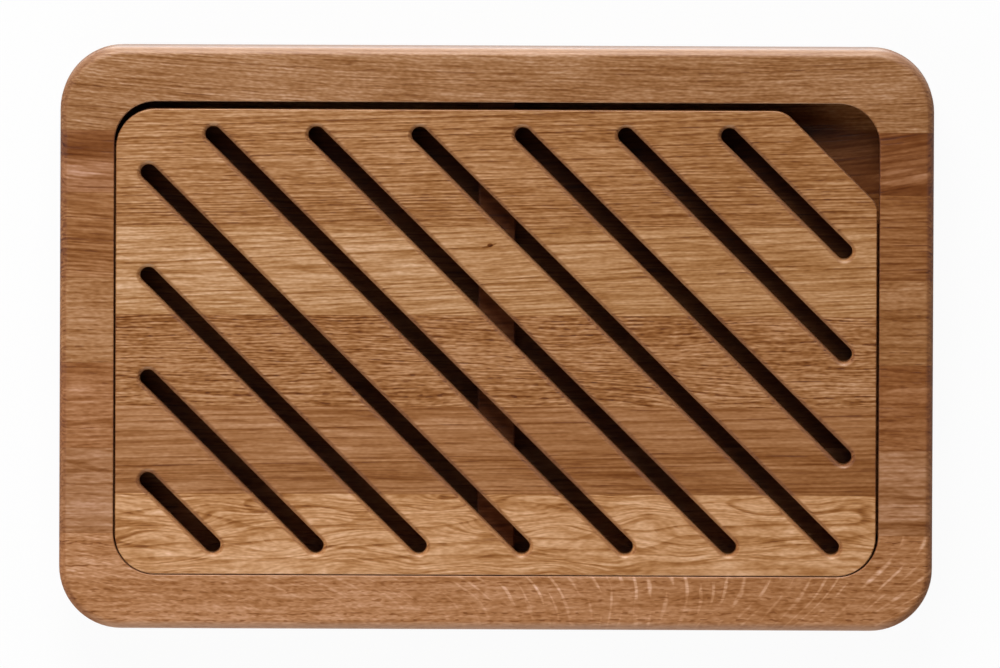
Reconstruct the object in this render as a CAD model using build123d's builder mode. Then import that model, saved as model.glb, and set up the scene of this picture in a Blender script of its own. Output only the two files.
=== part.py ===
"""Oak bread board: a tray with a pocket for crumbs, and a slotted grid that lifts out of it.

Lengths are in millimetres and angles in degrees. The underside of the tray lies on Z = 0 with
its middle at the origin, +X points to the right, +Y to the back of the board and +Z up.
"""

import os
from math import cos, floor, radians, sin, tan

from build123d import *

# The tray as a finished panel
board_length = 420.0
board_width = 280.0
board_height = 36.0
board_corner_radius = 30.0
board_edge_radius = 4.0

# The pocket milled into the tray
end_rail_width = 26.0
side_rail_width = 26.0
floor_thickness = 12.0
pocket_corner_radius = 20.0
pocket_rim_easing = 0.6

# The rests that carry the grid over the floor of the pocket
centre_rest_width = 18.0
end_rest_width = 10.0
rest_edge_easing = 1.0
rest_end_clearance = 0.5
right_rest_setback = 10.0

# The grid as a finished panel, lying flush with the rim of the tray
grid_thickness = 15.0
grid_end_clearance = 1.0
grid_side_clearance = 2.0
grid_shift_left = 0.2
grid_shift_front = 1.6
grid_edge_easing = 0.6

# The corner of the grid that is cut off for a finger
corner_cut_length = 45.0
cut_side_radius = 8.0
cut_back_radius = 12.0

# The slots that crumbs fall through
slot_width = 8.0
slot_pitch = 49.6
slot_phase = 13.5
slot_angle = 44.9
slot_end_border = 15.8
slot_front_border = 14.0
slot_back_border = 12.3
slot_rim_easing = 2.2
slot_underside_easing = 0.5
least_slot_length = 20.0
least_land_at_cut = 18.0

# Widths of the staves that each panel is glued up from, front to back
tray_stave_shares = [46, 41, 41, 41, 41, 30, 40]
grid_stave_shares = [39, 42, 44, 43, 56]

# How far a cutting shape runs past what it cuts
overrun = 2.0

pocket_length = board_length - 2 * end_rail_width
pocket_width = board_width - 2 * side_rail_width
grid_length = pocket_length - 2 * grid_end_clearance
grid_width = pocket_width - 2 * grid_side_clearance
grid_corner_radius = pocket_corner_radius - grid_end_clearance
grid_underside = board_height - grid_thickness
rest_height = grid_underside - floor_thickness

slot_run = cos(radians(slot_angle))
slot_drop = sin(radians(slot_angle))
corner_cut_width = corner_cut_length * tan(radians(slot_angle))
half_grid_length = grid_length / 2
half_grid_width = grid_width / 2
straight_wall_end = pocket_width / 2 - pocket_corner_radius
right_rest_end = half_grid_width - corner_cut_width - grid_shift_front - right_rest_setback

pocket_floor = Plane.XY.offset(floor_thickness)
grid_plane = Plane(origin=(-grid_shift_left, -grid_shift_front, grid_underside))


def glue_lines(panel_width, shares):
    """Places of the glue lines across a panel, with its front and back edges."""
    total = sum(shares)
    return [panel_width * (sum(shares[:count]) / total - 0.5) for count in range(len(shares) + 1)]


def slot_reach(crossing):
    """Start and end of a slot, measured along it from where it crosses the grid's middle line."""
    half_row = half_grid_length - slot_end_border
    start = max((slot_back_border - half_grid_width) / slot_drop, (-half_row - crossing) / slot_run)
    end = min((half_grid_width - slot_front_border) / slot_drop, (half_row - crossing) / slot_run)
    return start, end


def slot_fits(crossing):
    """A slot is cut where it is long enough and leaves enough wood at the cut corner."""
    start, end = slot_reach(crossing)
    land = (cut_crossing - crossing) * slot_drop - slot_width / 2
    return end - start > least_slot_length and land > least_land_at_cut


def save(part, name):
    """Label a finished piece and write it under its own name."""
    part.label = name
    export_step(part, f"parts/{name}.step")


os.makedirs("parts", exist_ok=True)

# The tray's panel: rounded corners and edges, and the pocket with its eased rim
with BuildPart() as tray_panel:
    with BuildSketch():
        RectangleRounded(board_length, board_width, board_corner_radius)
    extrude(amount=board_height)
    fillet(tray_panel.faces().filter_by(Axis.Z).edges(), radius=board_edge_radius)
    with BuildSketch(pocket_floor):
        RectangleRounded(pocket_length, pocket_width, pocket_corner_radius)
    extrude(amount=board_height - floor_thickness, mode=Mode.SUBTRACT)
    rim = tray_panel.faces().filter_by(Axis.Z).sort_by(Axis.Z)[-1]
    fillet(rim.inner_wires().edges(), radius=pocket_rim_easing)

# The staves of the tray: each is the strip of its panel between two glue lines
tray_glue_lines = glue_lines(board_width, tray_stave_shares)
for number, (front, back) in enumerate(zip(tray_glue_lines, tray_glue_lines[1:]), start=1):
    with BuildPart() as tray_stave:
        with BuildSketch():
            with Locations((0, (front + back) / 2)):
                Rectangle(board_length, back - front)
        extrude(amount=board_height)
        add(tray_panel.part, mode=Mode.INTERSECT)
    save(tray_stave.part, f"tray_stave_{number}")

# The centre rest: a strip across the middle of the pocket, glued to its floor
with BuildPart() as centre_rest:
    with BuildSketch(pocket_floor):
        Rectangle(centre_rest_width, pocket_width - 2 * rest_end_clearance)
    extrude(amount=rest_height)
    fillet(centre_rest.faces().sort_by(Axis.Z)[-1].edges().filter_by(Axis.Y), radius=rest_edge_easing)
save(centre_rest.part, "centre_rest")

# The left rest: a narrow strip along the left wall, under the solid border of the grid
with BuildPart() as left_rest:
    with BuildSketch(pocket_floor):
        with Locations((-pocket_length / 2, 0)):
            Rectangle(end_rest_width, 2 * straight_wall_end, align=(Align.MIN, Align.CENTER))
    extrude(amount=rest_height)
    fillet(left_rest.edges().filter_by(Axis.Y).sort_by(Axis.Z)[-2:].sort_by(Axis.X)[-1], radius=rest_edge_easing)
save(left_rest.part, "left_rest")

# The right rest: the same strip, stopping short of the open corner
with BuildPart() as right_rest:
    with BuildSketch(pocket_floor):
        with Locations((pocket_length / 2, -straight_wall_end)):
            Rectangle(end_rest_width, straight_wall_end + right_rest_end, align=(Align.MAX, Align.MIN))
    extrude(amount=rest_height)
    fillet(right_rest.edges().filter_by(Axis.Y).sort_by(Axis.Z)[-2:].sort_by(Axis.X)[0], radius=rest_edge_easing)
save(right_rest.part, "right_rest")

# The grid's panel: one corner cut off in line with the slots, and every edge eased
grid_corners = [
    (-half_grid_length, -half_grid_width),
    (half_grid_length, -half_grid_width),
    (half_grid_length, half_grid_width - corner_cut_width),
    (half_grid_length - corner_cut_length, half_grid_width),
    (-half_grid_length, half_grid_width),
]
grid_corner_radii = [grid_corner_radius, grid_corner_radius, cut_side_radius, cut_back_radius, grid_corner_radius]
cut_crossing = half_grid_length - corner_cut_length + half_grid_width * slot_run / slot_drop
slots_each_way = floor(cut_crossing / slot_pitch) + 1
slot_crossings = [slot_phase + step * slot_pitch for step in range(-slots_each_way, slots_each_way + 1)]

with BuildPart() as grid_panel:
    with BuildSketch(grid_plane):
        with BuildLine():
            FilletPolyline(*grid_corners, radius=grid_corner_radii, close=True)
        make_face()
    extrude(amount=grid_thickness)
    with BuildSketch(grid_plane.offset(-overrun)):
        for crossing in filter(slot_fits, slot_crossings):
            slot_start, slot_end = slot_reach(crossing)
            slot_middle = (slot_start + slot_end) / 2
            with Locations((crossing + slot_middle * slot_run, -slot_middle * slot_drop)):
                SlotCenterToCenter(slot_end - slot_start, slot_width, rotation=-slot_angle)
    extrude(amount=grid_thickness + 2 * overrun, mode=Mode.SUBTRACT)
    for end_face in (0, -1):
        flat = grid_panel.faces().filter_by(Axis.Z).sort_by(Axis.Z)[end_face]
        fillet(flat.outer_wire().edges(), radius=grid_edge_easing)
    underside = grid_panel.faces().filter_by(Axis.Z).sort_by(Axis.Z)[0]
    fillet(underside.inner_wires().edges(), radius=slot_underside_easing)
    top = grid_panel.faces().filter_by(Axis.Z).sort_by(Axis.Z)[-1]
    fillet(top.inner_wires().edges(), radius=slot_rim_easing)

# The staves of the grid, which the slots cut into short lengths between their glue lines
grid_glue_lines = glue_lines(grid_width, grid_stave_shares)
for number, (front, back) in enumerate(zip(grid_glue_lines, grid_glue_lines[1:]), start=1):
    with BuildPart() as grid_stave:
        with BuildSketch(grid_plane):
            with Locations((0, (front + back) / 2)):
                Rectangle(grid_length, back - front)
        extrude(amount=grid_thickness)
        add(grid_panel.part, mode=Mode.INTERSECT)
    save(grid_stave.part, f"grid_stave_{number}")
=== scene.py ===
"""Looks of the oak bread board: a tray with a pocket for crumbs and the slotted grid that lies in it."""

import math

import bpy
from mathutils import Matrix, Vector


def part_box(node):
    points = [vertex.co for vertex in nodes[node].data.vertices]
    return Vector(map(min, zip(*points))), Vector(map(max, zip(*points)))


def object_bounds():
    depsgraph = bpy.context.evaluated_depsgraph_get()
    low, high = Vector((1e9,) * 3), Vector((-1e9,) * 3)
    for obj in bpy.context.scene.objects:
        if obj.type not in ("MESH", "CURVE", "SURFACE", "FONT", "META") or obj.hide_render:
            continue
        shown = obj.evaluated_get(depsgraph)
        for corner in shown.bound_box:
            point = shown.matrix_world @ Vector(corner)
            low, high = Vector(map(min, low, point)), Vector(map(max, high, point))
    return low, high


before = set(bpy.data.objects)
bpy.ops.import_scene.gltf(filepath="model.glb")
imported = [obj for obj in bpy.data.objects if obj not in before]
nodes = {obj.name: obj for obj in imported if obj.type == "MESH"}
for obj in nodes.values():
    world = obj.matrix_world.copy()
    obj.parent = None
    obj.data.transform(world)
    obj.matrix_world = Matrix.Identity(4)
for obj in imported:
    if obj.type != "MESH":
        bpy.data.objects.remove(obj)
cad_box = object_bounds()
scene = bpy.context.scene
scene.view_settings.view_transform = "Standard"

# The board is seen from straight above and a little from behind, through a long lens, so that its
# outline stays square and only a sliver of the back edge shows.
camera_distance = 14.0
camera_lean_back = math.radians(3.2)
camera_roll = math.radians(0.23)
sensor_width = 36.0
seen_width = 0.4808
rim_height = 0.036
aim = Vector((0.0017, 0.0026, rim_height))

camera_data = bpy.data.cameras.new("camera above the board")
camera_data.sensor_width = sensor_width
camera_data.lens = sensor_width * camera_distance / seen_width
camera_data.clip_end = 4 * camera_distance
camera = bpy.data.objects.new("camera above the board", camera_data)
scene.collection.objects.link(camera)
lean = Matrix.Rotation(-camera_lean_back, 4, "X")
roll = Matrix.Rotation(camera_roll, 4, "Z")
camera.matrix_world = Matrix.Translation(aim) @ lean @ roll @ Matrix.Translation((0, 0, camera_distance))
scene.camera = camera

# A large soft lamp stands behind the board, and weaker ones at the left and over the front fill the
# shade. What shines mirrors two cards instead of the lamps: a wide one behind the board, and one that
# lies on the table for the back edge.
lamp_reach = 2.2
table_card_distance = 0.85
table_card_lift = 0.001


def soft_lamp(name, azimuth, height, width, depth, watts):
    """A soft box that faces the board: azimuth in degrees from the board's right, height in degrees."""
    turn, rise = math.radians(azimuth), math.radians(height)
    level, upright = math.cos(rise), math.sin(rise)
    place = lamp_reach * Vector((math.cos(turn) * level, math.sin(turn) * level, upright))
    data = bpy.data.lights.new(name, "AREA")
    data.shape = "RECTANGLE"
    data.size, data.size_y = width, depth
    data.energy = watts
    lamp = bpy.data.objects.new(name, data)
    lamp.location = place
    lamp.rotation_euler = (-place).to_track_quat("-Z", "Y").to_euler()
    scene.collection.objects.link(lamp)
    return lamp


large_lamp = soft_lamp("lamp behind the board", azimuth=98, height=38, width=1.2, depth=1.3, watts=50)
left_lamp = soft_lamp("lamp at the left", azimuth=190, height=27, width=1.6, depth=1.2, watts=16)
front_lamp = soft_lamp("lamp at the front", azimuth=262, height=50, width=1.6, depth=1.4, watts=16)
for lamp in (large_lamp, left_lamp, front_lamp):
    lamp.visible_glossy = False

wide_card = soft_lamp("card behind the board", azimuth=94, height=45, width=2.0, depth=1.6, watts=38)
table_card = soft_lamp("card on the table", azimuth=90, height=0, width=2.4, depth=1.4, watts=27)
table_card.location = (0, table_card_distance, table_card_lift)
table_card.rotation_euler = (math.pi, 0, 0)
for card in (wide_card, table_card):
    card.visible_diffuse = False
    card.visible_camera = False

# The room is white wherever it is seen or mirrored, up to a dark ceiling. It adds hardly any light
# from above, but lights the underside of the board through the opening in the table.
room_light = 0.1
light_from_below = 0.9
floor_end = -0.3
wall_top = 0.45
ceiling_start = 0.8


def place_node(tree, kind, **settings):
    """A node with its settings, which are its own properties or, by name, the values of its inputs."""
    node = tree.nodes.new(kind)
    for name, value in settings.items():
        if hasattr(node, name):
            setattr(node, name, value)
        else:
            node.inputs[name.replace("_", " ")].default_value = value
    return node


def feed(tree, source, target):
    """Connects a value, which is a number or another node's output, to an input."""
    if isinstance(source, (int, float)):
        target.default_value = source
    else:
        tree.links.new(source, target)


def figure(tree, operation, *values):
    """One sum on numbers or node outputs."""
    node = place_node(tree, "ShaderNodeMath", operation=operation)
    for value, target in zip(values, node.inputs):
        feed(tree, value, target)
    return node.outputs[0]


def mixed_by(tree, share, first, second):
    """The first shader or background where the share is nought, and the second where it is one."""
    mix = place_node(tree, "ShaderNodeMixShader")
    for source, target in zip((share, first, second), mix.inputs):
        feed(tree, source, target)
    return mix.outputs[0]


def rays_that_see(tree):
    """One for rays that come from the camera or off a surface that shines, and nought for the others."""
    path = place_node(tree, "ShaderNodeLightPath").outputs
    seen = figure(tree, "MAXIMUM", path["Is Camera Ray"], path["Is Glossy Ray"])
    return figure(tree, "MAXIMUM", seen, path["Is Transmission Ray"])


world = bpy.data.worlds.new("white room")
world.use_nodes = True
scene.world = world
room = world.node_tree
room.nodes.clear()
direction = place_node(room, "ShaderNodeTexCoord")
upward = place_node(room, "ShaderNodeSeparateXYZ")
walls = place_node(room, "ShaderNodeMapRange", From_Min=wall_top, From_Max=ceiling_start, To_Min=1, To_Max=0)
lighting = place_node(room, "ShaderNodeBackground")
white = place_node(room, "ShaderNodeBackground")
whole_room = place_node(room, "ShaderNodeOutputWorld")
below = figure(room, "LESS_THAN", upward.outputs["Z"], floor_end)
strength = figure(room, "MULTIPLY_ADD", below, light_from_below - room_light, room_light)
room.links.new(direction.outputs["Generated"], upward.inputs[0])
room.links.new(upward.outputs["Z"], walls.inputs["Value"])
room.links.new(walls.outputs["Result"], lighting.inputs["Color"])
room.links.new(strength, lighting.inputs["Strength"])
room.links.new(walls.outputs["Result"], white.inputs["Color"])
lit_or_seen = mixed_by(room, rays_that_see(room), lighting.outputs[0], white.outputs[0])
room.links.new(lit_or_seen, whole_room.inputs[0])

# The table is a round white top, which takes the board's shadow and looks white beside it. It has an
# opening that follows the flat of the underside, so that the board can be looked at from below.
table_radius = 3.0
table_white = 0.75
table_own_light = 0.95
opening_inset = 0.0045
opening_corner_radius = 0.0255
steps_to_a_corner = 8

board_half = (Vector(cad_box[1]) - Vector(cad_box[0])) / 2
opening = []
for quarter, (side, end) in enumerate(((1, 1), (-1, 1), (-1, -1), (1, -1))):
    centre = Vector((side * (board_half.x - opening_inset - opening_corner_radius),
                     end * (board_half.y - opening_inset - opening_corner_radius), 0))
    for step in range(steps_to_a_corner + 1):
        turn = math.pi / 2 * (quarter + step / steps_to_a_corner)
        opening.append(centre + opening_corner_radius * Vector((math.cos(turn), math.sin(turn), 0)))
edge = [table_radius * place.normalized() for place in opening]
around = len(opening)
faces = [(here, around + here, around + (here + 1) % around, (here + 1) % around) for here in range(around)]
table_mesh = bpy.data.meshes.new("table_top")
table_mesh.from_pydata(opening + edge, [], faces)
table_top = bpy.data.objects.new("table_top", table_mesh)
scene.collection.objects.link(table_top)

table_paint = bpy.data.materials.new("white table top")
table_paint.use_nodes = True
table_mesh.materials.append(table_paint)
paint = table_paint.node_tree
paint.nodes.clear()
dull_white = place_node(paint, "ShaderNodeBsdfDiffuse", Color=(table_white, table_white, table_white, 1))
glow = place_node(paint, "ShaderNodeEmission", Color=(1, 1, 1, 1))
painted = place_node(paint, "ShaderNodeOutputMaterial")
glow_share = figure(paint, "MULTIPLY", rays_that_see(paint), table_own_light)
paint.links.new(mixed_by(paint, glow_share, dull_white.outputs[0], glow.outputs[0]), painted.inputs[0])

# The front rail is the first of the seven oak staves that the tray is milled from. It is sawn on the
# quarter, so its rings run in straight rows and pale rays cross them, and it is oiled, not varnished.


def tone(*red_green_blue):
    """A colour given as it looks on a screen, 0 to 255, turned into the light that Blender works with."""
    return (*[((part / 255 + 0.055) / 1.055) ** 2.4 for part in red_green_blue], 1.0)


def point(tree, x, y, z):
    """Three numbers or node outputs as one place."""
    node = place_node(tree, "ShaderNodeCombineXYZ")
    for source, target in zip((x, y, z), node.inputs):
        feed(tree, source, target)
    return node.outputs[0]


def vector_sum(tree, operation, first, second):
    """One sum on two places."""
    node = place_node(tree, "ShaderNodeVectorMath", operation=operation)
    tree.links.new(first, node.inputs[0])
    tree.links.new(second, node.inputs[1])
    return node.outputs[0]


def ease(tree, value, low, high, start=0.0, end=1.0):
    """Turns a value between low and high smoothly into one between start and end."""
    node = place_node(tree, "ShaderNodeMapRange", interpolation_type="SMOOTHSTEP")
    names = ("Value", "From Min", "From Max", "To Min", "To Max")
    for source, name in zip((value, low, high, start, end), names):
        feed(tree, source, node.inputs[name])
    return node.outputs["Result"]


def threads(tree, place, length, breadth):
    """Noise drawn out along the grain, in threads of this length and breadth, from -0.5 to 0.5."""
    squeezed = vector_sum(tree, "DIVIDE", place, point(tree, length, breadth, breadth))
    noise = place_node(tree, "ShaderNodeTexNoise", Scale=1.0, Detail=0.0)
    tree.links.new(squeezed, noise.inputs["Vector"])
    return figure(tree, "SUBTRACT", noise.outputs[0], 0.5)


# Lengths in millimetres, and depths of colour as the natural logarithm of how much red light comes back
oak_settings = {
    "Heart across": 0.0,
    "Heart below": 60.0,
    "Heart lean": 0.02,
    "Ring gap": 2.4,
    "Spring share": 0.7,
    "Wander": 1.5,
    "Swirl": 0.3,
    "Slope": 0.0,
    "Bend": 0.0,
    "Bands": 0.25,
    "Fibre length": 9.0,
    "Fibre breadth": 1.5,
    "Fibres": 1.0,
    "Pores": 0.4,
    "Streaks": 0.5,
    "Clouds": 0.5,
    "Flecks": 0.35,
    "Rays": 0.0,
    "Tilt": 0.0,
    # paler towards the left end: partly the wood's own tone, partly painted light falling off to the right
    "Paler left": 0.0,
    "Marks": 0.0,
    "Half width": 20.0,
    "Seed": 1.0,
}
oak_tone = tone(158, 108, 71)
green_follows = 1.48
blue_follows = 2.35
end_grain_depth = 0.4
# painted shade: how much darker the floor of the pocket is made
pocket_floor_painted_shade = 0.35
glue_depth = 0.3
glue_reach = 0.35
plain_shine = 0.5
plain_roughness = 0.32
pore_groove = 0.03
spring_groove = 0.006

oak_tree = bpy.data.node_groups.new("oak grain", "ShaderNodeTree")
oak_tree.interface.new_socket("Place", in_out="INPUT", socket_type="NodeSocketVector")
oak_tree.interface.new_socket("Facing", in_out="INPUT", socket_type="NodeSocketVector")
for name, value in oak_settings.items():
    oak_tree.interface.new_socket(name, in_out="INPUT", socket_type="NodeSocketFloat").default_value = value
oak_tree.interface.new_socket("Tone", in_out="INPUT", socket_type="NodeSocketColor").default_value = oak_tone
oak_tree.interface.new_socket("Colour", in_out="OUTPUT", socket_type="NodeSocketColor")
oak_tree.interface.new_socket("Roughness", in_out="OUTPUT", socket_type="NodeSocketFloat")
oak_tree.interface.new_socket("Shine", in_out="OUTPUT", socket_type="NodeSocketFloat")
oak_tree.interface.new_socket("Height", in_out="OUTPUT", socket_type="NodeSocketFloat")


def draw_oak(tree):
    """Fills the group that turns a place in the wood, in millimetres, into its colour and its relief."""
    given = tree.nodes.new("NodeGroupInput").outputs
    result = tree.nodes.new("NodeGroupOutput").inputs
    parts = place_node(tree, "ShaderNodeSeparateXYZ")
    tree.links.new(given["Place"], parts.inputs[0])
    along, across, up = parts.outputs

    # The grain may run at a slope that changes along the stave. Every stave is a different piece of
    # the same solid wood, so its seed moves it along, across and up the log.
    steps_in_the_log = (613.0, 127.0, 71.0)
    drop = figure(tree, "MULTIPLY_ADD", given["Bend"], along, given["Slope"])
    sloped = figure(tree, "MULTIPLY_ADD", figure(tree, "MULTIPLY", drop, -1.0), along, across)
    shift = point(tree, *(figure(tree, "MULTIPLY", given["Seed"], step) for step in steps_in_the_log))
    wood = vector_sum(tree, "ADD", point(tree, along, sloped, up), shift)

    # It wanders sideways over a hand's length, and swirls over a finger's
    farthest_sway = 4.0
    far_sway = threads(tree, wood, length=150.0, breadth=34.0)
    near_sway = threads(tree, wood, length=34.0, breadth=10.0)
    sway = figure(tree, "MULTIPLY_ADD", near_sway, given["Swirl"], far_sway)
    sway = figure(tree, "MULTIPLY", figure(tree, "MULTIPLY", sway, given["Wander"]), farthest_sway)
    fibre_place = vector_sum(tree, "ADD", wood, point(tree, 0.0, sway, 0.0))
    aside = figure(tree, "SUBTRACT", figure(tree, "ADD", sloped, sway), given["Heart across"])
    above = figure(tree, "MULTIPLY_ADD", along, given["Heart lean"], up)
    above = figure(tree, "ADD", figure(tree, "ADD", above, given["Heart below"]), sway)

    # Growth rings around the heart: each starts with open, dark spring wood and ends dense and pale.
    # Good and bad years come in turn, so the rings crowd here and part there, some plainer than others.
    crowding, crowding_pace = 2.2, 0.31
    spring_onset = 0.08
    faintest_ring, rings_differ = 0.3, 0.9
    from_heart = figure(tree, "ADD", figure(tree, "POWER", aside, 2.0), figure(tree, "POWER", above, 2.0))
    rings = figure(tree, "DIVIDE", figure(tree, "SQRT", from_heart), given["Ring gap"])
    years = place_node(tree, "ShaderNodeTexNoise", noise_dimensions="1D", Scale=crowding_pace, Detail=1.0)
    tree.links.new(rings, years.inputs["W"])
    rings = figure(tree, "MULTIPLY_ADD", years.outputs[0], crowding, rings)
    ring_part = figure(tree, "FRACT", rings)
    onset = ease(tree, ring_part, low=0.0, high=spring_onset)
    fading = ease(tree, ring_part, low=spring_onset, high=given["Spring share"], start=1.0, end=0.0)
    each_ring = place_node(tree, "ShaderNodeTexWhiteNoise", noise_dimensions="1D")
    tree.links.new(figure(tree, "FLOOR", rings), each_ring.inputs["W"])
    strength = figure(tree, "MULTIPLY_ADD", each_ring.outputs["Value"], rings_differ, faintest_ring)
    spring = figure(tree, "MULTIPLY", figure(tree, "MULTIPLY", onset, fading), strength)

    # Pores are short dark dashes along the grain, most of them in the spring wood
    pore_to_fibre = 0.8
    pores_anywhere, pores_in_spring = 0.25, 0.8
    pore_length = figure(tree, "MULTIPLY", given["Fibre length"], pore_to_fibre)
    pores = ease(tree, threads(tree, fibre_place, length=pore_length, breadth=0.8), low=0.06, high=0.2)
    pore_share = figure(tree, "MULTIPLY_ADD", spring, pores_in_spring, pores_anywhere)
    pores = figure(tree, "MULTIPLY", pores, pore_share)

    # Rays cut on the quarter are pale curved flecks in series across the grain. Their lean changes
    # from left to right, and they are plainest on the right and towards the back of the stave.
    lean_at_middle, lean_gain = -1.25, 0.0125
    bow = 0.022
    turns_per_millimetre, uneven_turns = 0.85, 12.0
    lean_of_ray = figure(tree, "MULTIPLY_ADD", along, lean_gain, lean_at_middle)
    ray_along = figure(tree, "SUBTRACT", along, figure(tree, "MULTIPLY", lean_of_ray, across))
    ray_along = figure(tree, "MULTIPLY_ADD", figure(tree, "POWER", across, 2.0), bow, ray_along)
    ray_place = point(tree, ray_along, across, up)
    uneven = threads(tree, ray_place, length=20.0, breadth=30.0)
    turns = figure(tree, "MULTIPLY", ray_along, turns_per_millimetre)
    turns = figure(tree, "MULTIPLY_ADD", uneven, uneven_turns, turns)
    series = ease(tree, figure(tree, "SINE", turns), low=0.4, high=1.0)
    broken = ease(tree, threads(tree, ray_place, length=5.0, breadth=12.0), low=-0.08, high=0.08)
    rays = figure(tree, "MULTIPLY", series, broken)
    rays = figure(tree, "MULTIPLY", rays, ease(tree, along, low=-50.0, high=25.0, start=0.4))
    rays = figure(tree, "MULTIPLY", rays, ease(tree, across, low=-16.0, high=0.0, start=0.4))

    # All that makes the wood paler or deeper is added up. Pale wood stays within narrower bounds than
    # deep wood, so a part of the square of the sum is taken off.
    short_share, squared_share = 0.6, 0.8
    shorter, longer = 0.6, 2.3
    breadth = given["Fibre breadth"]
    short_length = figure(tree, "MULTIPLY", given["Fibre length"], shorter)
    long_length = figure(tree, "MULTIPLY", given["Fibre length"], longer)
    other_place = vector_sum(tree, "ADD", fibre_place, point(tree, 41.0, 29.0, 17.0))
    short_fibres = threads(tree, fibre_place, length=short_length, breadth=breadth)
    long_fibres = threads(tree, other_place, length=long_length, breadth=breadth)
    depth = figure(tree, "MULTIPLY_ADD", short_fibres, short_share, long_fibres)
    depth = figure(tree, "MULTIPLY", depth, given["Fibres"])
    streaks = threads(tree, fibre_place, length=60.0, breadth=3.0)
    clouds = threads(tree, wood, length=70.0, breadth=13.0)
    flecks = threads(tree, wood, length=2.4, breadth=0.8)
    to_side = figure(tree, "DIVIDE", across, given["Half width"])
    # Paler towards the left end: partly the wood's own tone, partly painted light that falls off to the
    # right
    left_light_and_tone = ease(tree, along, low=-190.0, high=190.0, start=0.5, end=-0.5)
    depth = figure(tree, "MULTIPLY_ADD", streaks, given["Streaks"], depth)
    depth = figure(tree, "MULTIPLY_ADD", clouds, given["Clouds"], depth)
    squared = figure(tree, "POWER", depth, 2.0)
    depth = figure(tree, "SUBTRACT", depth, figure(tree, "MULTIPLY", squared, squared_share))
    for part, share in ((to_side, "Tilt"), (left_light_and_tone, "Paler left"), (rays, "Rays"), (flecks, "Flecks")):
        depth = figure(tree, "MULTIPLY_ADD", part, given[share], depth)
    for part, share in ((spring, "Bands"), (pores, "Pores")):
        depth = figure(tree, "SUBTRACT", depth, figure(tree, "MULTIPLY", part, given[share]))
    depth = figure(tree, "ADD", depth, given["Marks"])

    # The long edges are rounded over and sanded, which leaves the figure fainter and the sheen wider.
    # Across the ends of its fibres the wood drinks more oil, the floor of the pocket is darkened with
    # painted shade, and each joint shows as a hair of glue.
    figure_lost = 0.6
    facing = place_node(tree, "ShaderNodeSeparateXYZ")
    tree.links.new(given["Facing"], facing.inputs[0])
    upwards = facing.outputs["Z"]
    rounded = ease(tree, figure(tree, "ABSOLUTE", facing.outputs["Y"]), low=0.2, high=0.6)
    rounded = figure(tree, "MULTIPLY", rounded, ease(tree, upwards, low=0.05, high=0.3))
    depth = figure(tree, "MULTIPLY", depth, figure(tree, "MULTIPLY_ADD", rounded, -figure_lost, 1.0))
    end_grain = ease(tree, figure(tree, "ABSOLUTE", facing.outputs["X"]), low=0.04, high=0.4)
    depth = figure(tree, "SUBTRACT", depth, figure(tree, "MULTIPLY", end_grain, end_grain_depth))
    # Painted shade: the floor deep in the pocket is made darker
    deep_down = ease(tree, up, low=-22.0, high=-16.0, start=1.0, end=0.0)
    painted_floor_shade = figure(tree, "MULTIPLY", deep_down, ease(tree, upwards, low=0.5, high=0.9))
    depth = figure(tree, "SUBTRACT", depth, figure(tree, "MULTIPLY", painted_floor_shade, pocket_floor_painted_shade))
    to_joint = figure(tree, "SUBTRACT", given["Half width"], figure(tree, "ABSOLUTE", across))
    glue = ease(tree, to_joint, low=0.0, high=glue_reach, start=glue_depth, end=0.0)
    depth = figure(tree, "SUBTRACT", depth, glue)

    # Deeper wood is redder: it loses more of its green, and most of its blue
    loses = (figure(tree, "MULTIPLY", depth, follows) for follows in (1.0, green_follows, blue_follows))
    deepened = point(tree, *[figure(tree, "EXPONENT", loss) for loss in loses])
    tree.links.new(vector_sum(tree, "MULTIPLY", given["Tone"], deepened), result["Colour"])
    roughness = figure(tree, "MULTIPLY_ADD", pores, 0.15, plain_roughness)
    roughness = figure(tree, "MULTIPLY_ADD", rounded, 0.12, roughness)
    feed(tree, figure(tree, "MULTIPLY_ADD", end_grain, 0.35, roughness), result["Roughness"])
    feed(tree, figure(tree, "MULTIPLY_ADD", rounded, 0.5, plain_shine), result["Shine"])
    in_pores = figure(tree, "MULTIPLY", pores, -pore_groove)
    feed(tree, figure(tree, "MULTIPLY_ADD", spring, -spring_groove, in_pores), result["Height"])


draw_oak(oak_tree)


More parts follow.
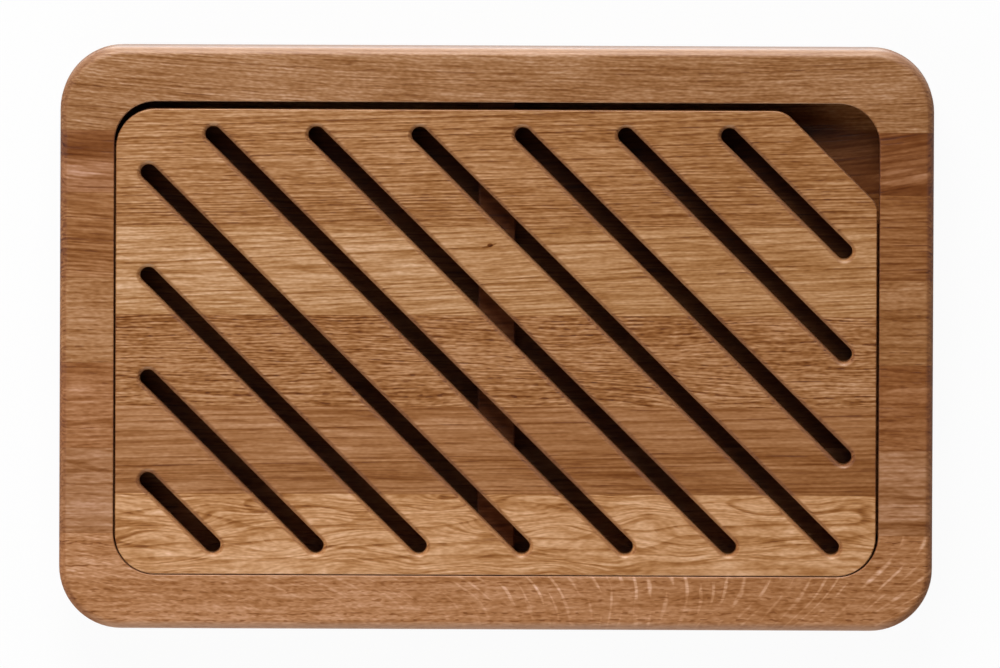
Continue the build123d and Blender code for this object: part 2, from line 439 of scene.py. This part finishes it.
def oak(node_name, *marks, **settings):
    """Gives a stave its own oak, centred on it, with the settings and the marks that are given."""
    per_metre = 1000.0
    low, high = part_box(node_name)
    middle = (low + high) / 2
    material = bpy.data.materials.new("oak of " + node_name)
    material.use_nodes = True
    tree = material.node_tree
    tree.nodes.clear()
    place = place_node(tree, "ShaderNodeTexCoord")
    on_board = place_node(tree, "ShaderNodeMapping")
    on_board.inputs["Scale"].default_value = (per_metre, per_metre, per_metre)
    on_stave = place_node(tree, "ShaderNodeMapping")
    on_stave.inputs["Location"].default_value = -per_metre * Vector((middle.x, middle.y, high.z))
    grain = place_node(tree, "ShaderNodeGroup")
    grain.node_tree = oak_tree
    settings.setdefault("Half_width", per_metre * (high.y - low.y) / 2)
    for name, value in settings.items():
        grain.inputs[name.replace("_", " ")].default_value = value
    tree.links.new(place.outputs["Object"], on_board.inputs["Vector"])
    tree.links.new(on_board.outputs[0], on_stave.inputs["Vector"])
    tree.links.new(on_stave.outputs[0], grain.inputs["Place"])
    tree.links.new(place.outputs["Normal"], grain.inputs["Facing"])
    for each in marks:
        drawn = place_node(tree, "ShaderNodeGroup")
        drawn.node_tree = mark_tree
        for name, value in each.items():
            drawn.inputs[name].default_value = value
        tree.links.new(on_board.outputs[0], drawn.inputs["Place"])
        if grain.inputs["Marks"].is_linked:
            tree.links.new(grain.inputs["Marks"].links[0].from_socket, drawn.inputs["Before"])
        tree.links.new(drawn.outputs["After"], grain.inputs["Marks"])
    relief = place_node(tree, "ShaderNodeBump", Strength=1.0, Distance=1 / per_metre)
    wood = place_node(tree, "ShaderNodeBsdfPrincipled")
    output = place_node(tree, "ShaderNodeOutputMaterial")
    tree.links.new(grain.outputs["Colour"], wood.inputs["Base Color"])
    tree.links.new(grain.outputs["Roughness"], wood.inputs["Roughness"])
    tree.links.new(grain.outputs["Shine"], wood.inputs["Specular IOR Level"])
    tree.links.new(grain.outputs["Height"], relief.inputs["Height"])
    tree.links.new(relief.outputs[0], wood.inputs["Normal"])
    tree.links.new(wood.outputs[0], output.inputs["Surface"])
    mesh = nodes[node_name].data
    mesh.materials.clear()
    mesh.materials.append(material)


oak(
    "tray_stave_1",
    Seed=1.0, Tone=tone(178, 125, 84), Paler_left=0.14, Heart_across=90.0, Heart_below=20.0,
    Heart_lean=0.01, Ring_gap=4.6, Wander=0.8, Bands=0.15, Fibre_length=4.5, Fibre_breadth=1.2, Fibres=0.6,
    Pores=0.6, Streaks=0.3, Clouds=0.3, Rays=0.42,
)

# The five staves between the rails make the floor of the pocket, and show on top only at the ends.
# They are offcuts of different boards, so their tones differ, and each has marks of its own: soft
# patches and lines of deeper or paler wood.
mark_settings = {
    "Along": 0.0,
    "Across": 0.0,
    "Length": 10.0,
    "Breadth": 2.0,
    "Slope": 0.0,
    "Depth": -0.2,
    "Before": 0.0,
}
mark_tree = bpy.data.node_groups.new("oak mark", "ShaderNodeTree")
mark_tree.interface.new_socket("Place", in_out="INPUT", socket_type="NodeSocketVector")
for name, value in mark_settings.items():
    mark_tree.interface.new_socket(name, in_out="INPUT", socket_type="NodeSocketFloat").default_value = value
mark_tree.interface.new_socket("After", in_out="OUTPUT", socket_type="NodeSocketFloat")


def draw_mark(tree):
    """Fills the group that adds one soft mark, which frays along the grain, to those before it."""
    fray_reach = 3.0
    given = tree.nodes.new("NodeGroupInput").outputs
    result = tree.nodes.new("NodeGroupOutput").inputs
    parts = place_node(tree, "ShaderNodeSeparateXYZ")
    tree.links.new(given["Place"], parts.inputs[0])
    along = figure(tree, "SUBTRACT", parts.outputs["X"], given["Along"])
    across = figure(tree, "SUBTRACT", parts.outputs["Y"], given["Across"])
    across = figure(tree, "SUBTRACT", across, figure(tree, "MULTIPLY", given["Slope"], along))
    fray = threads(tree, given["Place"], length=14.0, breadth=4.0)
    across = figure(tree, "MULTIPLY_ADD", fray, fray_reach, across)
    far_along = figure(tree, "POWER", figure(tree, "DIVIDE", along, given["Length"]), 2.0)
    far_across = figure(tree, "POWER", figure(tree, "DIVIDE", across, given["Breadth"]), 2.0)
    from_middle = figure(tree, "ADD", far_along, far_across)
    shape = ease(tree, from_middle, low=0.2, high=1.0, start=1.0, end=0.0)
    feed(tree, figure(tree, "MULTIPLY_ADD", shape, given["Depth"], given["Before"]), result["After"])


draw_mark(mark_tree)


def mark(along, across, length, breadth, depth, slope=0.0):
    """Where a mark lies on the board, how far it reaches each way, and how much paler it makes the wood."""
    place_and_reach = {"Along": along, "Across": across, "Length": length, "Breadth": breadth}
    return {**place_and_reach, "Depth": depth, "Slope": slope}


oak(
    "tray_stave_2",
    mark(-197, -53, 14, 1.6, -0.25, -0.12), mark(-195, -62, 16, 1.8, -0.35, -0.22),
    mark(198, -75, 20, 1.3, -0.3), mark(198, -89, 22, 3.2, -0.2),
    Seed=2.0, Tone=tone(173, 124, 88), Paler_left=0.04, Heart_across=60.0, Ring_gap=2.2,
    Fibre_breadth=1.2, Fibres=0.7, Pores=0.3, Bands=0.2,
)
oak(
    "tray_stave_3",
    mark(-200, -14, 16, 5.5, -0.33), mark(-206, -25, 12, 4.5, 0.16), mark(-194, -41, 22, 1.5, -0.35, 0.08),
    mark(198, -16, 22, 9.0, -0.12), mark(198, -24, 14, 2.0, 0.2, 0.1),
    Seed=3.0, Tone=tone(156, 103, 63), Paler_left=0.28, Heart_across=-60.0, Ring_gap=1.8,
    Fibre_length=7.0, Fibre_breadth=1.1, Fibres=0.72,
)
oak(
    "tray_stave_4",
    mark(198, 24, 20, 7.0, 0.14),
    Seed=4.0, Tone=tone(164, 115, 74), Paler_left=0.23, Heart_across=60.0, Ring_gap=1.6,
    Fibre_length=5.5, Fibre_breadth=1.1, Fibres=0.68,
)
oak(
    "tray_stave_5",
    mark(-198, 41, 24, 1.2, -0.25, -0.03), mark(-198, 50, 24, 3.0, 0.15), mark(198, 41, 24, 1.2, -0.2),
    Seed=5.0, Tone=tone(151, 100, 59), Paler_left=0.20, Heart_across=60.0, Ring_gap=1.7,
    Slope=-0.03, Bend=0.0001, Fibre_length=14.0, Fibre_breadth=1.2, Bands=0.4,
)
oak(
    "tray_stave_6",
    mark(-212, 94.0, 50, 7.2, -0.45), mark(-212, 88.3, 50, 1.2, -0.35), mark(-206, 81, 34, 5.0, 0.35),
    mark(198, 79, 26, 5.0, 0.45, 0.08), mark(198, 71.8, 30, 2.2, -0.3, 0.12), mark(165, 90, 24, 16, 0.4),
    Seed=6.0, Tone=tone(140, 89, 52), Paler_left=0.42, Heart_across=-60.0, Ring_gap=2.0,
    Slope=0.04, Bend=0.0003, Fibre_length=16.0, Fibre_breadth=1.2, Bands=0.35, Fibres=0.7,
)

# The back rail is the last stave of the tray, glued to the one before it and milled with it. It is
# close-grained oak, and its grain runs down to the right at the left end and levels out from there.
oak(
    "tray_stave_7",
    Seed=7.0, Tone=tone(163, 117, 79), Paler_left=0.06, Heart_across=60.0, Heart_below=55.0,
    Ring_gap=1.8, Wander=1.2, Bands=0.3, Slope=-0.035, Bend=0.00017, Fibre_length=11.0, Fibre_breadth=0.95,
    Fibres=0.75, Streaks=0.35, Clouds=0.4, Flecks=0.6,
)

# Three plain oak strips stand in the pocket, glued to its floor, and carry the grid over the crumbs.
# Their dark tone, and the darkening towards the back, are painted shade for the slots they sit
# under. No joint crosses them, so their half width is set past their ends, which keeps the hair of glue off
# them.
for number, node_name in enumerate(("centre_rest", "left_rest", "right_rest")):
    oak(
        node_name,
        Seed=11.0 + number, Tone=tone(120, 69, 34), Heart_across=20.0,
        Half_width=200.0, Tilt=-0.4,
    )

# The grid is five oak staves glued edge to edge, then slotted and eased. The front one is pale and
# cut near the heart, so its rings part into wide wavy lines, and the fourth has a small pin knot.
oak(
    "grid_stave_1",
    Seed=21.0, Tone=tone(195, 144, 99), Paler_left=0.06, Heart_across=14.0, Heart_below=40.0,
    Heart_lean=0.02, Ring_gap=4.6, Spring_share=0.35, Wander=4.0, Swirl=0.75, Bands=0.47, Fibre_length=9.0,
    Fibre_breadth=0.95, Fibres=0.85, Clouds=0.35,
)
oak(
    "grid_stave_2",
    Seed=22.0, Tone=tone(163, 112, 71), Paler_left=0.16, Heart_across=60.0, Ring_gap=2.1,
    Fibre_length=16.0, Fibre_breadth=0.9, Fibres=0.58, Streaks=0.35, Tilt=0.1, Bands=0.42,
)
oak(
    "grid_stave_3",
    Seed=23.0, Tone=tone(170, 120, 78), Heart_across=-60.0, Ring_gap=1.35,
    Fibre_length=5.5, Fibre_breadth=0.85, Fibres=1.3, Streaks=0.25, Pores=0.6, Bands=0.5,
)
oak(
    "grid_stave_4",
    mark(-3.2, 45.7, 1.7, 1.2, -1.1), mark(-4.6, 44.8, 3.2, 0.8, -0.6, 0.3),
    mark(-1.8, 45.8, 2.0, 0.7, -0.5, 0.5),
    Seed=24.0, Tone=tone(186, 139, 96), Paler_left=0.21, Heart_across=70.0, Ring_gap=2.3, Slope=0.03,
    Fibre_length=10.0, Fibre_breadth=0.9, Fibres=0.75, Streaks=0.35, Clouds=0.4, Bands=0.42,
)
oak(
    "grid_stave_5",
    Seed=25.0, Tone=tone(171, 122, 79), Paler_left=0.13, Heart_across=70.0,
    Ring_gap=1.4, Slope=0.01, Fibre_length=7.0, Fibre_breadth=0.85, Fibres=0.95, Bands=0.5,
    Clouds=0.2, Streaks=0.35,
)
